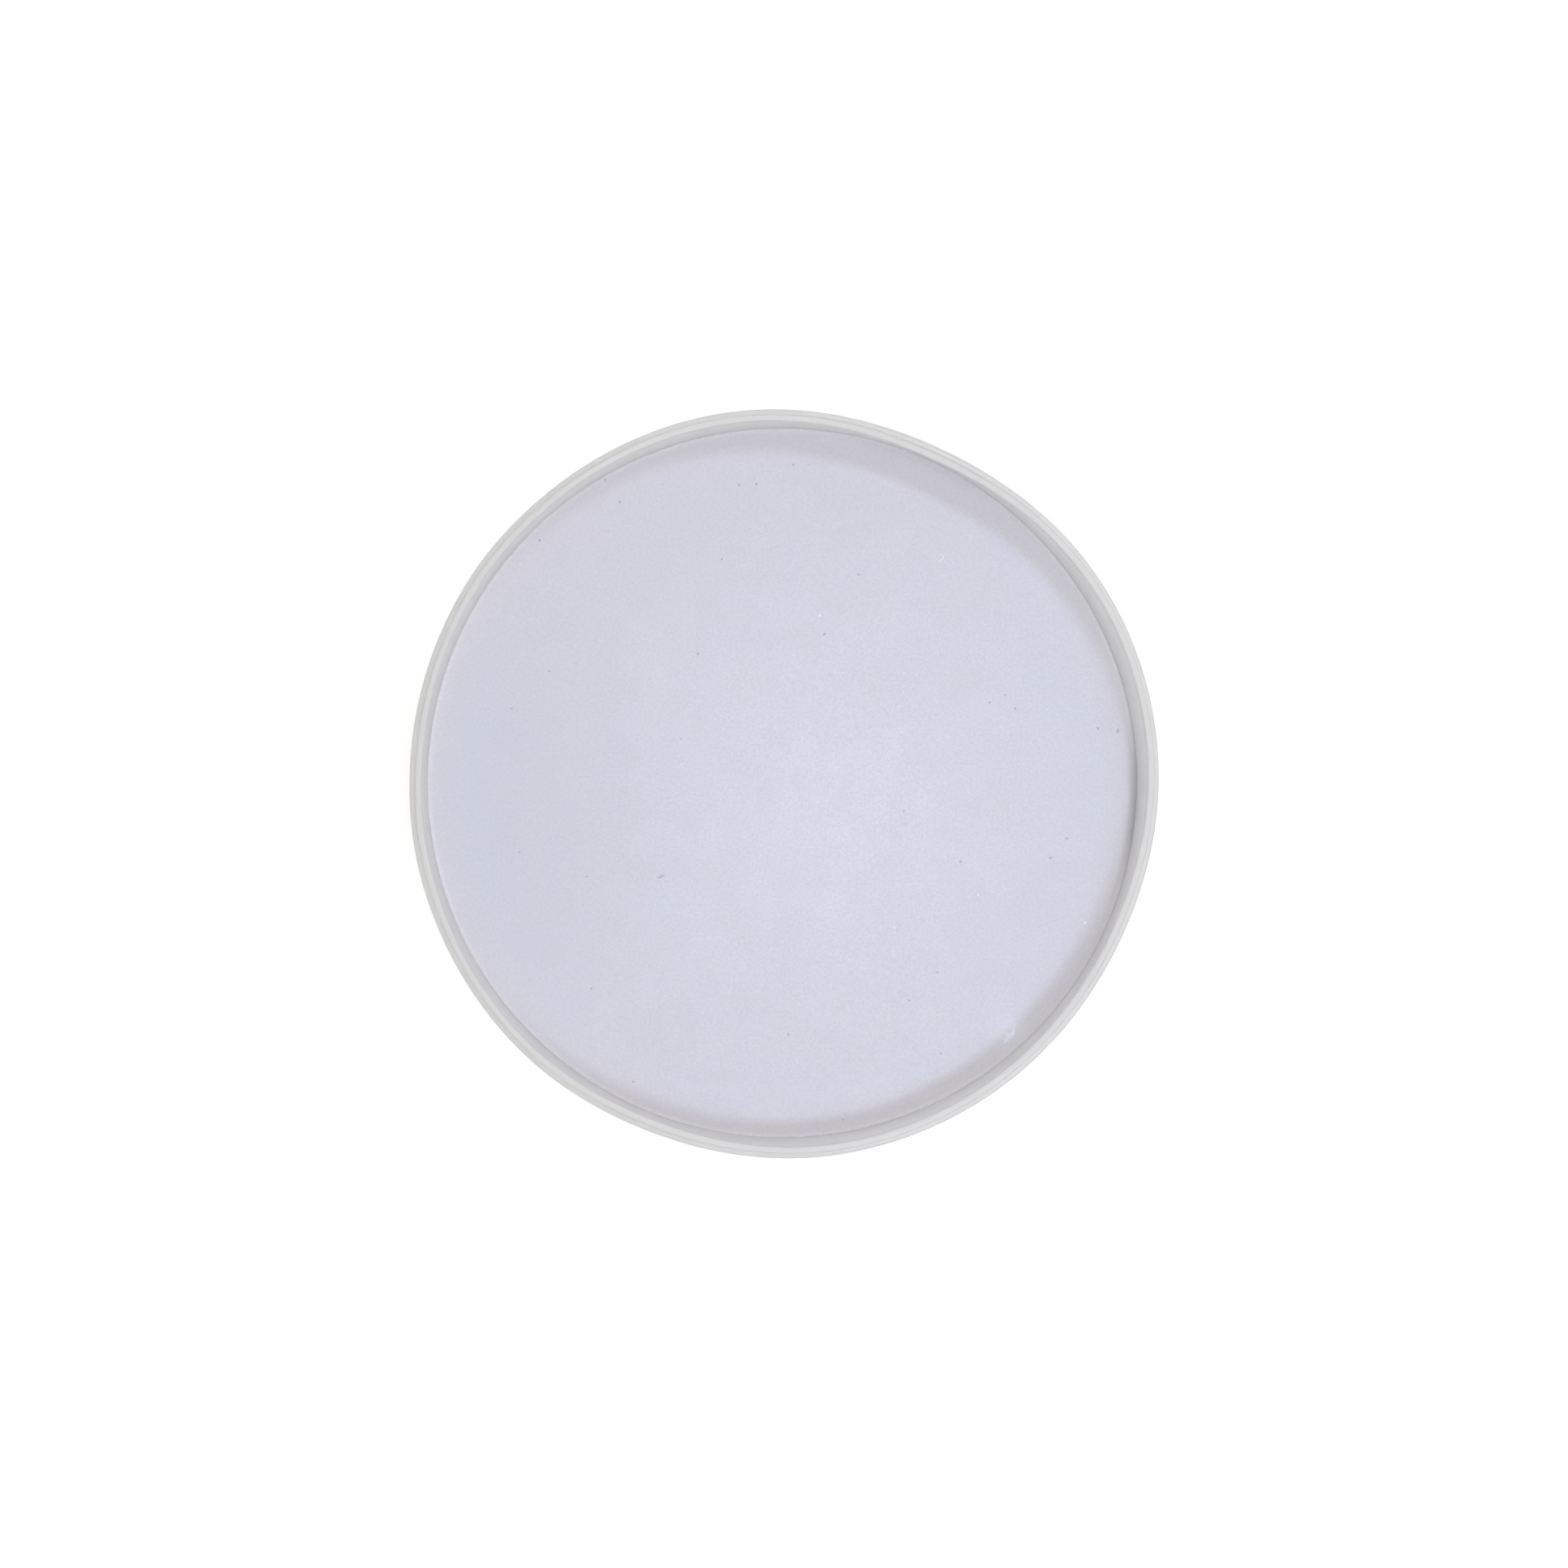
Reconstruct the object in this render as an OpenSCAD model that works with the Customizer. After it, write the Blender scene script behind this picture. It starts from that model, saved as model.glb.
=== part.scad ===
// Shaving soap puck cast in a thin, flexible refill cup.
//
// The object is two pieces: a moulded cup, and the soap that was poured into it and set.
// The soap stands on the cup's floor, stops short of the lip and lifts straight out.
// Millimetres, +Z up. The origin is on the axis, in the plane that the foot ring stands on.

/* [Soap puck] */
// Depth of the soap from its open face to the floor of the cup
soap_depth = 23.7; // [18:0.1:25]
// Radial gap beside the soap, left as it shrank in setting
shrink_gap = 0.15; // [0.1:0.05:0.4]
// Radius of the softened edge round the open face
face_edge_r = 0.5; // [0.2:0.1:1]
// Radius of the soap's lower corner
soap_corner_r = 3.4; // [3.4:0.1:6]

/* [Cup body] */
// Overall height of the cup
cup_h = 32.5; // [31:0.5:40]
// Thickness of the wall
wall_t = 0.95; // [0.8:0.05:1]
// Thickness of the floor
floor_t = 1.2; // [0.9:0.1:2]
// Lean of the wall outward from upright, in degrees
wall_draft = 3.5; // [1:0.5:6]
// Radius inside the corner where the floor meets the wall
corner_r = 3; // [2:0.5:3]

/* [Foot] */
// Height of the foot ring under the floor
foot_h = 0.6; // [0.4:0.1:1]
// Width of the foot ring's flat
foot_w = 3; // [2:0.5:6]
// Diameter of the shallow dimple round the moulding gate
gate_dimple_d = 5; // [3:0.5:8]
// Depth of that dimple
gate_dimple_depth = 0.3; // [0.2:0.1:0.4]
// Diameter of the gate stub inside the dimple
gate_stub_d = 1.4; // [1:0.1:2]

/* [Lip] */
// Outside diameter of the bead that a press-on lid snaps over
bead_d = 79.5; // [60:0.1:100]
// Height of the bead's upright outside
bead_h = 1.2; // [0.8:0.1:2]
// Width of the lip, from the mouth of the cup to the outside of the bead
lip_w = 1.3; // [1.2:0.05:1.5]
// Thickness of the narrow land at the very top of the lip
land_t = 0.7; // [0.5:0.05:0.8]
// Drop from the land to the shoulder of the lid bead
step_h = 0.9; // [0.5:0.1:1.5]
// Radius on the bead's shoulder
bead_edge_r = 0.25; // [0.1:0.05:0.3]
// Radius on both edges of the land
land_edge_r = 0.1; // [0.05:0.05:0.2]

/* [Hidden] */

$fn = 240;
// Straight steps along each quarter-turn of a rounded corner
arc_steps = 10;

floor_z = foot_h + floor_t;
soap_face_z = floor_z + soap_depth;
shoulder_z = cup_h - step_h;
bead_top_z = shoulder_z - bead_edge_r;
bead_bottom_z = bead_top_z - bead_h;
bead_r = bead_d / 2;
land_in_r = bead_r - lip_w;
land_out_r = land_in_r + land_t;

// Radii at a height: the cup's tapered inside and outside, and the soap's side
function inside_r(z) = land_in_r - (cup_h - z) * tan(wall_draft);
function outside_r(z) = inside_r(z) + wall_t;
function soap_r(z) = inside_r(z) - shrink_gap;

soap_edge_r = soap_r(soap_face_z - face_edge_r);
// The bead's underside runs back to the wall at 45 degrees
bead_root_z = bead_bottom_z - (bead_r - outside_r(bead_bottom_z));

// Points along an arc about [x, z]
function arc(x, z, r, from, to) =
    [for (i = [0:arc_steps])
        let (a = from + (to - from) * i / arc_steps)
        [x + r * cos(a), z + r * sin(a)]];

// How far in from the wall's foot a corner of radius r is centred, where the wall leans out
function corner_inset(r) = r * (1 - sin(wall_draft)) / cos(wall_draft);

// A rounded corner between a level base at height z and the wall that rises from radius wall_r
function base_corner(wall_r, z, r) =
    arc(wall_r - corner_inset(r), z + r, r, -90, -wall_draft);

function reversed(points) = [for (i = [len(points) - 1:-1:0]) points[i]];

outer_corner_r = corner_r + wall_t / 2;
foot_out_r = outside_r(0) - corner_inset(outer_corner_r);
foot_in_r = foot_out_r - foot_w;

// Underside of the floor, from the gate stub out to the foot ring
underside_points = [
    [0, foot_h + gate_dimple_depth / 3],
    [gate_stub_d / 2, foot_h + gate_dimple_depth / 3],
    [gate_stub_d / 2, foot_h + gate_dimple_depth],
    [gate_dimple_d / 2, foot_h + gate_dimple_depth],
    [gate_dimple_d / 2, foot_h],
    [foot_in_r - foot_h, foot_h],
    [foot_in_r, 0]
];

// Outside of the lip, from the bead's underside up to the land
lip_points = concat(
    [[outside_r(bead_root_z), bead_root_z], [bead_r, bead_bottom_z]],
    arc(bead_r - bead_edge_r, bead_top_z, bead_edge_r, 0, 90),
    [[land_out_r, shoulder_z]],
    arc(land_out_r - land_edge_r, cup_h - land_edge_r, land_edge_r, 0, 90),
    arc(land_in_r + land_edge_r, cup_h - land_edge_r, land_edge_r, 90, 180)
);

module cup() {
    color([0.90, 0.91, 0.90, 0.7])
        rotate_extrude()
            polygon(concat(
                underside_points,
                base_corner(outside_r(0), 0, outer_corner_r),
                lip_points,
                reversed(base_corner(inside_r(floor_z), floor_z, corner_r)),
                [[0, floor_z]]
            ));
}

module soap_puck() {
    color([0.83, 0.84, 0.90])
        rotate_extrude()
            polygon(concat(
                [[0, floor_z]],
                base_corner(soap_r(floor_z), floor_z, soap_corner_r),
                arc(soap_edge_r - face_edge_r, soap_face_z - face_edge_r, face_edge_r, 0, 90),
                [[0, soap_face_z]]
            ));
}

cup();
soap_puck();
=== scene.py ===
# Shaving soap puck in its refill cup: the looks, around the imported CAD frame.
# Lengths in this script are in millimetres and become metres where a mesh, an object or a node
# is made. The sizes of lights and their distances, and Subsurface Scale, are in metres.
# Directions are in degrees about +Z, from +X, which is the right of the photo.
import math

import bpy
from mathutils import Matrix, Vector, noise


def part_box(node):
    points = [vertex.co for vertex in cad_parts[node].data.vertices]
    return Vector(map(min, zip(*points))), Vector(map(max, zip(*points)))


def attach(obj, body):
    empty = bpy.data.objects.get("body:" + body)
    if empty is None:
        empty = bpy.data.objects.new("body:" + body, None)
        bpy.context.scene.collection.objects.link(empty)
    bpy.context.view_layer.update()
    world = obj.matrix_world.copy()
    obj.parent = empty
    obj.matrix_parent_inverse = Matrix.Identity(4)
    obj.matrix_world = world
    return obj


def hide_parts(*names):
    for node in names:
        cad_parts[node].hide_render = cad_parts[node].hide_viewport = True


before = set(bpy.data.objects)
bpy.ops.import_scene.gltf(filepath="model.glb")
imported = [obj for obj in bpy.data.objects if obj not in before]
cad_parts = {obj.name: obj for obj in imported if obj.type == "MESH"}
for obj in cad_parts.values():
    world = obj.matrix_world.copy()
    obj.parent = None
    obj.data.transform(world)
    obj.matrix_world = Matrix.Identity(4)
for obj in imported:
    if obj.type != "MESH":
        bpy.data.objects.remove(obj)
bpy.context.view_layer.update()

MM = 0.001

# ---------------------------------------------------------------- sizes from the frame
cup_low, cup_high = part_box("cup")
soap_low, soap_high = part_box("soap_puck")
CUP_H = cup_high.z / MM
BEAD_R = cup_high.x / MM
FLOOR_Z = soap_low.z / MM
FACE_Z = soap_high.z / MM

# ---------------------------------------------------------------- sizes of the moulding
# The same as in the CAD source, which explains each of them
LIP_W = 1.3
MOUTH_R = BEAD_R - LIP_W
SHRINK_GAP = 0.15
WALL_T = 0.95
DRAFT = math.radians(3.5)
CORNER_R = 3.0
SOAP_CORNER_R = 3.4
FOOT_H = 0.6
FOOT_W = 3.0
GATE_DIMPLE_R = 2.5
GATE_DIMPLE_DEPTH = 0.3
GATE_STUB_R = 0.7
LAND_T = 0.7
STEP_H = 0.9
BEAD_H = 1.2
# Steps round the axis in the cup and in the soap
TURNS = 600

# Where the flexible lip stands off its round shape:
# direction in degrees, how far it moves outward, and how wide the bend is in degrees
LIP_BENDS = (
    (20, 0.43, 24),
    (66, -0.66, 17),
    (104, 0.16, 16),
    (146, 0.06, 12),
    (170, -0.08, 14),
    (224, 0.08, 12),
    (250, -0.24, 14),
    (274, 0.09, 9),
    (286, 0.10, 14),
    (309, -0.06, 9),
    (332, -0.30, 20),
    (354, 0.09, 10),
)


def inside_r(z):
    """Radius of the cup's inside at a height, along the tapered wall."""
    return MOUTH_R - (CUP_H - z) * math.tan(DRAFT)


FACE_R = inside_r(FACE_Z)


def smooth(t):
    """0 to 1, with a level start and end."""
    t = min(max(t, 0.0), 1.0)
    return t * t * (3 - 2 * t)


def angle_between(a, b):
    """The difference of two directions, in degrees from -180 to 180."""
    return (a - b + 180) % 360 - 180


def lip_offset(degrees):
    """How far the lip stands off its round shape in one direction."""
    return sum(
        move * math.exp(-((angle_between(degrees, at) / width) ** 2))
        for at, move, width in LIP_BENDS
    )


# ---------------------------------------------------------------- mesh helpers
def arc(r, z, radius, start, end, steps):
    """Points of a profile along an arc about (r, z), with angles in degrees."""
    points = []
    for i in range(steps + 1):
        a = math.radians(start + (end - start) * i / steps)
        points.append((r + radius * math.cos(a), z + radius * math.sin(a)))
    return points


def base_corner(wall_r, z, radius):
    """A rounded corner from a level base at z up into the wall that starts at wall_r."""
    inset = radius * (1 - math.sin(DRAFT)) / math.cos(DRAFT)
    return arc(wall_r - inset, z + radius, radius, -90, -math.degrees(DRAFT), 12)


def divided(profile, longest):
    """The profile with its long straight stretches split, so that it can bend."""
    points = [profile[0]]
    for (r0, z0), (r1, z1) in zip(profile, profile[1:]):
        parts = max(1, math.ceil(math.hypot(r1 - r0, z1 - z0) / longest))
        for i in range(1, parts + 1):
            t = i / parts
            points.append((r0 + (r1 - r0) * t, z0 + (z1 - z0) * t))
    return points


def lathe(name, profile, place):
    """A closed mesh turned about the axis. The profile starts and ends on the axis.
    place(r, z, degrees) gives each point's x, y and z in millimetres."""
    vertices = [place(*profile[0], 0.0)]
    for r, z in profile[1:-1]:
        vertices += [place(r, z, 360 * k / TURNS) for k in range(TURNS)]
    vertices.append(place(*profile[-1], 0.0))
    last = len(vertices) - 1
    rings = len(profile) - 2
    faces = []
    for k in range(TURNS):
        following = (k + 1) % TURNS
        faces.append((0, 1 + following, 1 + k))
        for j in range(rings - 1):
            a = 1 + j * TURNS
            b = a + TURNS
            faces.append((a + k, a + following, b + following, b + k))
        a = 1 + (rings - 1) * TURNS
        faces.append((a + k, a + following, last))
    return mesh_object(name, vertices, faces)


def mesh_object(name, vertices, faces, sharp_degrees=40):
    """A smooth-shaded mesh object from points in millimetres."""
    mesh = bpy.data.meshes.new(name)
    mesh.from_pydata([Vector(v) * MM for v in vertices], [], faces)
    mesh.validate()
    mesh.shade_smooth()
    mesh.set_sharp_from_angle(angle=math.radians(sharp_degrees))
    obj = bpy.data.objects.new(name, mesh)
    bpy.context.scene.collection.objects.link(obj)
    return obj


# ---------------------------------------------------------------- node helpers
class Material:
    """A node material built around one Principled shader."""

    def __init__(self, name, **values):
        self.material = bpy.data.materials.new(name)
        self.material.use_nodes = True
        self.tree = self.material.node_tree
        self.shader = self.tree.nodes["Principled BSDF"]
        for socket, value in values.items():
            self.shader.inputs[socket.replace("_", " ")].default_value = value
        self.coordinates = self.node("ShaderNodeTexCoord").outputs["Object"]

    def node(self, kind, **settings):
        """A new node with its settings."""
        made = self.tree.nodes.new(kind)
        for key, value in settings.items():
            setattr(made, key, value)
        return made

    def link(self, source, target):
        self.tree.links.new(source, target)

    def noise(self, size, detail=3.0, roughness=0.5, stretch=(1, 1, 1), shift=0.0):
        """A noise from 0 to 1 whose blotches are about size millimetres across."""
        mapping = self.node("ShaderNodeMapping")
        mapping.inputs["Scale"].default_value = [s / (size * MM) for s in stretch]
        mapping.inputs["Location"].default_value = (shift, shift, shift)
        self.link(self.coordinates, mapping.inputs["Vector"])
        texture = self.node("ShaderNodeTexNoise")
        texture.inputs["Scale"].default_value = 1.0
        texture.inputs["Detail"].default_value = detail
        texture.inputs["Roughness"].default_value = roughness
        self.link(mapping.outputs["Vector"], texture.inputs["Vector"])
        return texture.outputs["Fac"]

    def pits(self, spacing, radius):
        """1 nearly everywhere and 0 in scattered round pits, both sizes in millimetres."""
        mapping = self.node("ShaderNodeMapping")
        mapping.inputs["Scale"].default_value = [1 / (spacing * MM)] * 3
        self.link(self.coordinates, mapping.inputs["Vector"])
        cells = self.node("ShaderNodeTexVoronoi")
        cells.inputs["Scale"].default_value = 1.0
        self.link(mapping.outputs["Vector"], cells.inputs["Vector"])
        edge = radius / spacing
        return self.remap(cells.outputs["Distance"], 0.0, 1.0, start=edge * 0.6, end=edge)

    def height(self):
        """Each point's height in metres."""
        parts = self.node("ShaderNodeSeparateXYZ")
        self.link(self.coordinates, parts.inputs["Vector"])
        return parts.outputs["Z"]

    def distance(self, x, y, z):
        """How far each point is from a place given in millimetres. The answer is in metres."""
        measure = self.node("ShaderNodeVectorMath", operation="DISTANCE")
        self.link(self.coordinates, measure.inputs[0])
        measure.inputs[1].default_value = (x * MM, y * MM, z * MM)
        return measure.outputs["Value"]

    def ramp(self, source, *stops):
        """A smooth colour ramp. Each stop is (position, colour)."""
        ramp = self.node("ShaderNodeValToRGB")
        elements = ramp.color_ramp.elements
        while len(elements) < len(stops):
            elements.new(0.5)
        for element, (position, colour) in zip(elements, stops):
            element.position = position
            element.color = (*colour, 1.0)
        self.link(source, ramp.inputs["Fac"])
        return ramp.outputs["Color"]

    def remap(self, source, low, high, start=0.3, end=0.7):
        """A number that goes from low to high while source goes from start to end."""
        ranged = self.node("ShaderNodeMapRange")
        ranged.inputs["From Min"].default_value = start
        ranged.inputs["From Max"].default_value = end
        ranged.inputs["To Min"].default_value = low
        ranged.inputs["To Max"].default_value = high
        self.link(source, ranged.inputs["Value"])
        return ranged.outputs["Result"]

    def mix(self, factor, a, b):
        """Two colours mixed: a where the factor's socket gives 0, and b where it gives 1."""
        mixer = self.node("ShaderNodeMix", data_type="RGBA")
        # A Mix node holds inputs for every kind of data, and its two colours are 6 and 7
        factor_in, a_in, b_in = mixer.inputs[0], mixer.inputs[6], mixer.inputs[7]
        self.link(factor, factor_in)
        for socket, value in ((a_in, a), (b_in, b)):
            if isinstance(value, bpy.types.NodeSocket):
                self.link(value, socket)
            else:
                socket.default_value = (*value, 1.0)
        return mixer.outputs[2]

    def bump(self, height, depth, under=None):
        """A bump whose full height is depth millimetres, over another bump if given."""
        bump = self.node("ShaderNodeBump")
        bump.inputs["Strength"].default_value = 1.0
        bump.inputs["Distance"].default_value = depth * MM
        self.link(height, bump.inputs["Height"])
        if under is not None:
            self.link(under, bump.inputs["Normal"])
        return bump.outputs["Normal"]

    def set(self, socket, source):
        """Drive one of the shader's own inputs."""
        self.link(source, self.shader.inputs[socket])


# ---------------------------------------------------------------- materials
def soap_material():
    """Hard, matte, very pale lavender soap: faint blue and pink clouds, fine grain, tiny pits."""
    soap = Material(
        "soap_lavender_white",
        Subsurface_Weight=0.3,
        Subsurface_Scale=0.0004,
        Specular_IOR_Level=0.35,
    )
    soap.shader.inputs["Subsurface Radius"].default_value = (1.0, 0.9, 0.85)

    # Patterns of the soap itself
    clouds = soap.noise(22, detail=2.0)
    patches = soap.noise(6, detail=3.0, shift=4.7)
    mottle = soap.noise(3.6, detail=2.0, shift=6.2)
    grain = soap.noise(0.28, detail=4.0, roughness=0.7, shift=9.1)
    pits = soap.pits(3.4, 0.13)

    def fade(x, y, most, near, far):
        """most up to a distance near from a place on the face, falling to 0 at far."""
        away = soap.distance(x, y, FACE_Z)
        return soap.remap(away, most, 0.0, start=near * MM, end=far * MM)

    def ring(inner, outer):
        """0 inside the radius inner of the face, rising to 1 at the radius outer."""
        radius = soap.distance(0, 0, FACE_Z)
        return soap.remap(radius, 0.0, 1.0, start=inner * MM, end=outer * MM)

    # Places on the face with painted light and shade, and the sides of the puck painted paler
    # A painted pool of light: the middle of the face, a little right of centre, painted paler where the
    # lamps fall strongest
    painted_light_pool = fade(6, -3, 1.0, 4, 46)
    # Painted shade: the left of the face painted darker and bluer, on the side away from the lamps
    painted_shade_left = fade(-34, -4, 0.55, 3, 26)
    # Painted light: a paler patch round the rim flake, so that the face there reads as lit inside the
    # lip's shadow
    painted_light_by_flake = fade(24.2, -26.4, 0.9, 0.5, 2.4)
    # Painted shade: a dark patch in the groove along the wall on the right
    painted_groove_shade = fade(38, -2, 1.0, 3, 9.5)
    # Painted light: a warmer, less blue ring near the wall, standing in for the warm light that comes
    # through the cup's wall into the lip's shadow
    painted_warm_rim = ring(34, 37.8)
    # A paler ring where the soap climbs the wall: partly the thin film's own paler look, partly painted
    # light that fills the dark corner at the wall
    film = ring(37.5, 37.9)
    groove = ring(37, 37.8)
    # Painted light: the sides and underside painted much paler than the face, standing in for light
    # that the narrow gap behind the frosted wall keeps out
    painted_light_sides = soap.remap(soap.height(), 1.0, 0.0, start=(FACE_Z - 1.6) * MM, end=(FACE_Z - 0.4) * MM)

    base = soap.ramp(
        clouds,
        (0.35, (0.622, 0.655, 0.696)),
        (0.65, (0.662, 0.640, 0.696)),
    )
    base = soap.mix(soap.remap(patches, 0.0, 0.34), base, (0.634, 0.673, 0.724))
    # Painted light: a paler pool in the middle of the face
    base = soap.mix(painted_light_pool, base, (0.752, 0.768, 0.872))
    base = soap.mix(soap.remap(mottle, 0.0, 0.36, start=0.35), base, (0.700, 0.664, 0.740))
    # Painted shade on the left of the face
    base = soap.mix(painted_shade_left, base, (0.606, 0.645, 0.718))
    # Painted warm light near the wall
    base = soap.mix(painted_warm_rim, base, (0.668, 0.654, 0.692))
    # Painted light round the rim flake
    base = soap.mix(painted_light_by_flake, base, (0.745, 0.750, 0.830))
    # Partly the film's paler look, partly painted light in the corner at the wall
    base = soap.mix(film, base, (0.760, 0.750, 0.784))
    # Painted shade in the groove on the right, where the lip's shadows overlap
    base = soap.mix(groove, base, soap.mix(painted_groove_shade, base, (0.480, 0.482, 0.516)))
    # Painted light on the sides and underside of the puck
    base = soap.mix(painted_light_sides, base, (0.800, 0.806, 0.880))
    base = soap.mix(soap.remap(grain, 0.0, 0.50), base, (0.530, 0.530, 0.606))
    # Painted shade: darker colour in the pits
    in_pit = soap.remap(pits, 0.25, 0.0, start=0.0, end=1.0)
    base = soap.mix(in_pit, base, (0.300, 0.300, 0.350))
    soap.set("Base Color", base)
    soap.set("Roughness", soap.remap(patches, 0.55, 0.68))
    soft = soap.bump(patches, 0.05)
    grainy = soap.bump(grain, 0.02, under=soft)
    soap.set("Normal", soap.bump(pits, 0.08, under=grainy))
    return soap.material


def cup_material():
    """Frosted, slightly milky polypropylene with a faint flow pattern."""
    cup = Material(
        "frosted_polypropylene",
        IOR=1.49,
        Transmission_Weight=0.32,
        Subsurface_Weight=1.0,
        Subsurface_Scale=0.0028,
        Specular_IOR_Level=0.5,
    )
    cup.shader.inputs["Subsurface Radius"].default_value = (1.0, 1.0, 1.0)
    flow = cup.noise(14, detail=3.0, stretch=(1, 1, 0.35))
    frost = cup.noise(0.18, detail=3.0, roughness=0.65, shift=2.3)
    # Painted shade: the top of the lip painted darker, where the land looks darker seen down the length
    # of the frosted wall
    lip = cup.remap(cup.height(), 0.0, 1.0, start=(CUP_H - 1.5) * MM, end=(CUP_H - 0.5) * MM)
    base = cup.ramp(
        flow,
        (0.3, (0.966, 0.964, 0.957)),
        (0.7, (0.976, 0.974, 0.968)),
    )
    # Painted shade along the top of the lip
    base = cup.mix(lip, base, (0.845, 0.843, 0.835))
    cup.set("Base Color", base)
    cup.set("Roughness", cup.remap(frost, 0.34, 0.46))
    cup.set("Normal", cup.bump(frost, 0.003, under=cup.bump(flow, 0.03)))
    return cup.material


# ---------------------------------------------------------------- the cup
def cup_profile():
    """The moulding's section, from the gate under the floor, up the outside and down the inside."""
    # Radii on the bead's shoulder, on the land and in the small corners
    bead_edge = 0.28
    land_edge = 0.14
    small = 0.1

    # The foot ring and the gate mark in the middle of the underside
    outside = base_corner(inside_r(0) + WALL_T, 0, CORNER_R + WALL_T / 2)
    foot_in = outside[0][0] - FOOT_W
    stub_z = FOOT_H + GATE_DIMPLE_DEPTH / 3
    dimple_z = FOOT_H + GATE_DIMPLE_DEPTH
    section = [
        (0, stub_z),
        (GATE_STUB_R - 0.1, stub_z),
        (GATE_STUB_R, stub_z + 0.06),
        (GATE_STUB_R + 0.05, dimple_z),
        (GATE_DIMPLE_R - 0.35, dimple_z),
    ]
    section += arc(GATE_DIMPLE_R + 0.2, FOOT_H + 0.2, 0.2, 180, 270, 5)
    section += arc(foot_in - 0.5, FOOT_H - 0.25, 0.25, 90, 30, 5)
    section += arc(foot_in + 0.1, 0.2, 0.2, 210, 270, 5)
    section += outside

    # The lid bead, and the land above it
    shoulder_z = CUP_H - STEP_H
    bead_top = shoulder_z - bead_edge
    bead_low = bead_top - BEAD_H
    root_z = bead_low - (BEAD_R - inside_r(bead_low) - WALL_T)
    land_in = inside_r(CUP_H)
    land_out = land_in + LAND_T
    section += [(inside_r(root_z) + WALL_T, root_z)]
    section += arc(BEAD_R - small, bead_low + small, small, -45, 0, 4)
    section += arc(BEAD_R - bead_edge, bead_top, bead_edge, 0, 90, 8)
    section += arc(land_out + small, shoulder_z + small, small, 270, 180, 4)
    section += arc(land_out - land_edge, CUP_H - land_edge, land_edge, 0, 90, 6)
    section += arc(land_in + land_edge, CUP_H - land_edge, land_edge, 90, 180, 6)

    # The inside, down to the middle of the floor
    section += base_corner(inside_r(FLOOR_Z), FLOOR_Z, CORNER_R)[::-1]
    section += [(0, FLOOR_Z)]
    return divided(section, 1.6)


def place_cup(r, z, degrees):
    """The soap holds the wall round at its own level. The free wall above it bends, and the
    outside is very slightly uneven all the way down."""
    free = max(0.0, (z - FACE_Z) / (CUP_H - FACE_Z))
    a = math.radians(degrees)
    bent = r + lip_offset(degrees) * free ** 1.4 * smooth(r / 20)
    loose = 1.0 if r > inside_r(z) + WALL_T / 2 else smooth(free * 2)
    spot = Vector((math.cos(a) * 3, math.sin(a) * 3, z / 9))
    out = bent + 0.06 * noise.noise(spot) * loose * smooth((r - 34) / 3)
    return out * math.cos(a), out * math.sin(a), z


cup = lathe("cup_shell", cup_profile(), place_cup)
cup.data.materials.append(cup_material())
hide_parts("cup")
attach(cup, "cup_body")


# ---------------------------------------------------------------- the soap
def face_height(x, y):
    """How far the poured face stands above or below its level: a gentle swell, a film that
    climbs the wall, and a shallow groove along the wall on the right."""
    edge = FACE_R - math.hypot(x, y)
    swell = 0.07 * noise.noise(Vector((x / 21, y / 21, 3.1)))
    ripple = 0.02 * noise.noise(Vector((x / 5, y / 5, 7.7)))
    rim_wander = 1 + 0.35 * noise.noise(Vector((x / 6, y / 6, 1.9)))
    meniscus = 0.16 * rim_wander * math.exp(-max(edge, 0.0) / 0.16)
    off_groove = angle_between(math.degrees(math.atan2(y, x)), -4) / 13
    groove = math.exp(-(off_groove ** 2))
    sunk = 0.22 * groove * smooth((0.9 - edge) / 0.9)
    return (swell + ripple) * smooth(edge / 1.5) + meniscus * (1 - groove) - sunk


def soap_profile():
    """The puck's section, from the middle of its underside, up its side and in over its face."""
    side = base_corner(inside_r(FLOOR_Z) - SHRINK_GAP, FLOOR_Z, SOAP_CORNER_R)
    section = [(0, FLOOR_Z)] + side
    section += [(inside_r(FACE_Z - 1.2) - SHRINK_GAP, FACE_Z - 1.2)]
    section += [(FACE_R - 0.02, FACE_Z - 0.25)]
    section += [(FACE_R, FACE_Z)]
    # Fine rings near the wall, where the film and the groove are
    section += [(FACE_R - 0.06 * i, FACE_Z) for i in range(1, 9)]
    section += [(FACE_R - 0.48 - 0.15 * i, FACE_Z) for i in range(1, 12)]
    section += [(0, FACE_Z)]
    return divided(section, 0.7)


def place_soap(r, z, degrees):
    """The face touches the wall, and the cast side and underside are slightly uneven."""
    a = math.radians(degrees)
    x, y = r * math.cos(a), r * math.sin(a)
    if z > FACE_Z - 0.2:
        top = z + face_height(x, y)
        wall = inside_r(top) - 0.004
        out = wall if r > FACE_R - 0.001 else min(r, wall)
        return out * math.cos(a), out * math.sin(a), top
    cast = 0.06 * (noise.noise(Vector((x / 4, y / 4, z / 3))) - 0.5) * smooth((r - 30) / 4)
    scale = 1 + cast / max(r, 1.0)
    return x * scale, y * scale, z


soap = lathe("soap_body", soap_profile(), place_soap)
soap.data.materials.append(soap_material())
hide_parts("soap_puck")
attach(soap, "soap_body")


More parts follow.
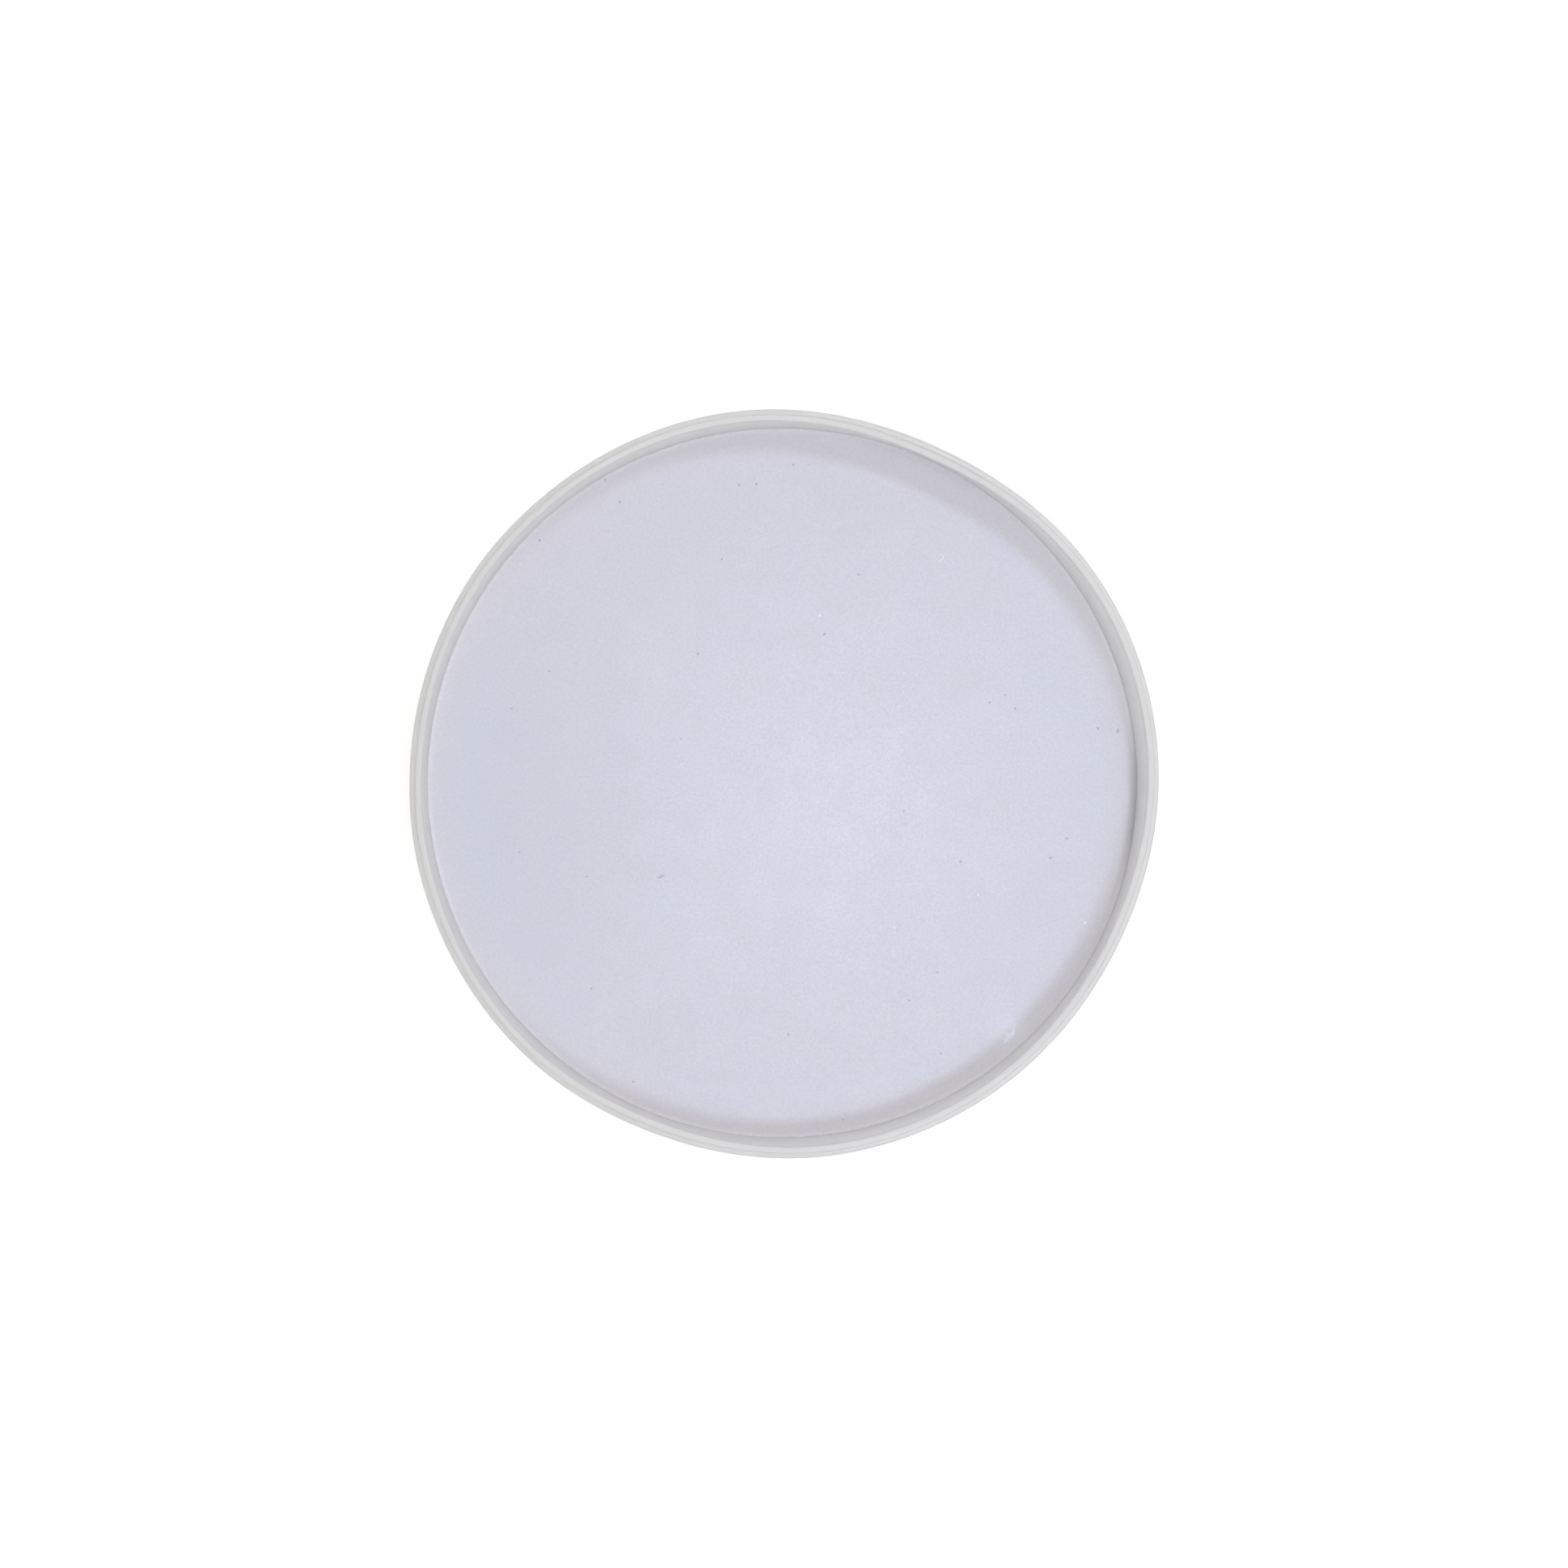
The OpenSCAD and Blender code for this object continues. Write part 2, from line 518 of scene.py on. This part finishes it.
# ---------------------------------------------------------------- specks, lint and a flake on the soap
# Each mark is (x, y, length, width, direction in degrees)
DARK_SPECKS = (
    (-26, 26, 0.30, 0.22, 20),
    (-25, 12, 0.22, 0.18, 70),
    (-29, 8, 0.26, 0.20, 10),
    (-19, 32.5, 0.24, 0.20, 50),
    (-6.5, 24, 0.22, 0.16, 0),
    (4.5, 16, 0.26, 0.22, 30),
    (25, 8, 0.22, 0.16, 120),
    (36, 5.6, 0.45, 0.22, 80),
    (17, -29, 0.24, 0.20, 15),
    (-21, -10, 0.22, 0.18, 0),
    (-20.5, -22, 0.24, 0.18, 95),
    (-16, -32, 0.26, 0.20, 40),
    (13, -3, 0.20, 0.16, 60),
    (-13, -10, 0.90, 0.14, 25),
)
PALE_SPECKS = (
    (4, 18, 0.34, 0.28, 0),
    (12, -15.5, 0.30, 0.26, 40),
    (21, -12, 0.32, 0.24, 100),
    (32.5, -15, 0.36, 0.28, 60),
    (17, -24, 1.80, 0.07, 35),
)
FLAKE_CRUMBS = (
    (24.65, -26.85, 0.55, 0.36, 42),
    (24.25, -27.25, 0.26, 0.20, 10),
)


# How far each small piece goes down into the soap
ROOT = 0.05


def on_face(x, y, up):
    """A point at a height above the soap's face."""
    return x, y, FACE_Z + face_height(x, y) + up


def marks(name, places, rise):
    """Low closed mounds on the soap's face."""
    around = 14
    # Each ring's part of the full width, and its height
    rings = ((1.0, -ROOT), (1.0, rise * 0.3), (0.6, rise * 0.8))
    vertices = []
    faces = []
    for x, y, length, width, degrees in places:
        turn = math.radians(degrees)
        first = len(vertices)
        for part, up in rings:
            for k in range(around):
                a = 2 * math.pi * k / around
                spot = Vector((x + math.cos(a), y + math.sin(a), part))
                wobble = 1 + 0.3 * noise.noise(spot)
                along = math.cos(a) * length / 2 * part * wobble
                across = math.sin(a) * width / 2 * part * wobble
                px = x + along * math.cos(turn) - across * math.sin(turn)
                py = y + along * math.sin(turn) + across * math.cos(turn)
                vertices.append(on_face(px, py, up))
        low = len(vertices)
        high = low + 1
        vertices.append(on_face(x, y, -ROOT))
        vertices.append(on_face(x, y, rise))
        top_ring = first + 2 * around
        for k in range(around):
            following = (k + 1) % around
            faces.append((low, first + following, first + k))
            for ring in range(2):
                a = first + ring * around
                b = a + around
                faces.append((a + k, a + following, b + following, b + k))
            faces.append((top_ring + k, top_ring + following, high))
    return mesh_object(name, vertices, faces)


def rim_flake():
    """A thin pale scale of dry soap near the wall, with a clean outer edge and a ragged inner one."""
    steps = 22
    start, span = -49.6, 3.8
    outer_r = 36.78
    vertices = []
    for i in range(steps + 1):
        t = i / steps
        a = math.radians(start + span * t)
        # 0 at both ends of the scale and 1 halfway
        full = math.sqrt(max(0.0, 1 - (2 * t - 1) ** 2))
        ragged = 1 + 0.45 * noise.noise(Vector((t * 7, 2.2, 5.0)))
        uneven = 0.03 * noise.noise(Vector((t * 19, 4.1, 1.0)))
        outer = outer_r - 0.75 * smooth((t - 0.6) / 0.4) + uneven
        inner = outer - 0.04 - 0.55 * full * ragged
        lift = 0.01 + 0.09 * full
        section = (
            (inner, -ROOT),
            (inner, 0.01),
            ((inner + outer) / 2, lift * 0.6),
            (outer, lift),
            (outer, -ROOT),
        )
        for r, up in section:
            vertices.append(on_face(r * math.cos(a), r * math.sin(a), up))
    faces = []
    for i in range(steps):
        for j in range(5):
            a = i * 5 + j
            b = i * 5 + (j + 1) % 5
            faces.append((a, a + 5, b + 5, b))
    faces.append((4, 3, 2, 1, 0))
    faces.append(tuple(steps * 5 + j for j in range(5)))
    return mesh_object("rim_flake", vertices, faces, 30)


def lint_curl():
    """A short white fibre, curled on the face."""
    around, steps, thick = 8, 14, 0.075
    curl = math.radians(95)
    vertices = []
    for i in range(steps + 1):
        t = i / steps
        bend = math.radians(-10 + 95 * t)
        x = 16.72 + 0.52 * math.sin(curl * t)
        y = 23.82 + 0.50 * (1 - math.cos(curl * t)) + 0.04 * math.sin(6 * t)
        radius = thick * (0.6 + 0.4 * math.sin(math.pi * t))
        x, y, z = on_face(x, y, thick * 0.8)
        for k in range(around):
            a = 2 * math.pi * k / around
            side = radius * math.cos(a)
            up = radius * math.sin(a)
            vertices.append((x - side * math.sin(bend), y + side * math.cos(bend), z + up))
    faces = []
    for i in range(steps):
        for k in range(around):
            a = i * around + k
            b = i * around + (k + 1) % around
            faces.append((a, b, b + around, a + around))
    faces.append(tuple(range(around))[::-1])
    faces.append(tuple(steps * around + k for k in range(around)))
    return mesh_object("lint_curl", vertices, faces, 60)


def speck_material(name, dark, pale):
    """Grains of one tone with small variations."""
    speck = Material(name, Specular_IOR_Level=0.35)
    grain = speck.noise(0.12, detail=2.0)
    speck.set("Base Color", speck.ramp(grain, (0.3, dark), (0.7, pale)))
    speck.set("Roughness", speck.remap(grain, 0.5, 0.7))
    return speck.material


def add_to_soap(obj, material):
    """A small piece that lies on the soap and moves with it."""
    obj.data.materials.append(material)
    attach(obj, "soap_body")


dark_grit = speck_material("dark_grit", (0.38, 0.37, 0.42), (0.50, 0.49, 0.54))
add_to_soap(marks("dark_specks", DARK_SPECKS, 0.03), dark_grit)

pale_soap = speck_material("pale_soap_crumb", (0.78, 0.80, 0.88), (0.84, 0.86, 0.93))
add_to_soap(marks("pale_specks", PALE_SPECKS, 0.05), pale_soap)

dried_scale = speck_material("dried_soap_scale", (0.71, 0.72, 0.81), (0.76, 0.77, 0.85))
add_to_soap(rim_flake(), dried_scale)

white_crumb = speck_material("white_crumb", (0.82, 0.87, 0.98), (0.86, 0.91, 0.99))
add_to_soap(marks("flake_crumb", FLAKE_CRUMBS, 0.19), white_crumb)

white_lint = speck_material("white_lint", (0.90, 0.90, 0.92), (0.95, 0.95, 0.96))
add_to_soap(lint_curl(), white_lint)


# ---------------------------------------------------------------- floor, light and camera
def area_light(name, degrees, elevation, distance, width, depth, power, colour):
    """An oval light that looks at the soap from a direction and an elevation in degrees.
    distance, width and depth are in metres, and power is in watts."""
    light = bpy.data.lights.new(name, "AREA")
    light.shape = "ELLIPSE"
    light.size = width
    light.size_y = depth
    light.energy = power
    light.color = colour
    lamp = bpy.data.objects.new(name, light)
    a, e = math.radians(degrees), math.radians(elevation)
    away = Vector((math.cos(e) * math.cos(a), math.cos(e) * math.sin(a), math.sin(e)))
    target = Vector((0, 0, FACE_Z * MM))
    lamp.location = target + away * distance
    across = Vector((-math.sin(a), math.cos(a), 0))
    turn = Matrix((across, away.cross(across), away)).transposed()
    lamp.matrix_world = Matrix.Translation(lamp.location) @ turn.to_4x4()
    bpy.context.scene.collection.objects.link(lamp)


def pale_floor():
    """A large, plain, pale floor that reads as white paper."""
    half = 3000.0
    corners = [(-half, -half, 0), (half, -half, 0), (half, half, 0), (-half, half, 0)]
    floor = mesh_object("pale_floor", corners, [(0, 1, 2, 3)])
    paper = Material("pale_floor", Roughness=0.9, Specular_IOR_Level=0.1, Emission_Strength=0.7)
    paper.shader.inputs["Emission Color"].default_value = (1.0, 1.0, 1.0, 1.0)
    tone = paper.noise(40, detail=3.0)
    base = paper.ramp(
        tone,
        (0.3, (0.490, 0.490, 0.490)),
        (0.7, (0.510, 0.510, 0.510)),
    )
    paper.set("Base Color", base)
    floor.data.materials.append(paper.material)


def sky(colour, strength):
    """Even light from all round."""
    world = bpy.data.worlds.new("studio")
    world.use_nodes = True
    background = world.node_tree.nodes["Background"]
    background.inputs["Color"].default_value = (*colour, 1.0)
    background.inputs["Strength"].default_value = strength
    bpy.context.scene.world = world


def overhead_camera():
    """Almost straight above, with the soap's face filling a little under half the frame's width.
    view_width is what the frame takes in at the soap's face."""
    distance, view_width = 600.0, 168.1
    data = bpy.data.cameras.new("camera")
    data.sensor_width = 36.0
    data.lens = data.sensor_width * distance / view_width
    data.clip_start = 0.01
    camera = bpy.data.objects.new("camera", data)
    target = Vector((0.16, -0.08, FACE_Z)) * MM
    back = Vector((-12.0, 8.0, distance)).normalized()
    right = Vector((0, 1, 0)).cross(back).normalized()
    turn = Matrix((right, back.cross(right), back)).transposed()
    camera.matrix_world = Matrix.Translation(target + back * distance * MM) @ turn.to_4x4()
    bpy.context.scene.collection.objects.link(camera)
    bpy.context.scene.camera = camera


WARM = (1.0, 0.965, 0.86)
COOL = (0.68, 0.74, 1.0)

pale_floor()
sky(WARM, 0.435)
# name, direction, elevation, distance, width, depth, power, colour
area_light("softbox", 10, 86, 0.6, 0.20, 0.20, 1.12, WARM)
area_light("key_back", 66, 62.2, 0.7, 0.22, 0.10, 0.87, COOL)
area_light("key_front", 295, 67.0, 0.7, 0.24, 0.11, 1.18, COOL)
overhead_camera()
bpy.context.scene.view_settings.view_transform = "Standard"
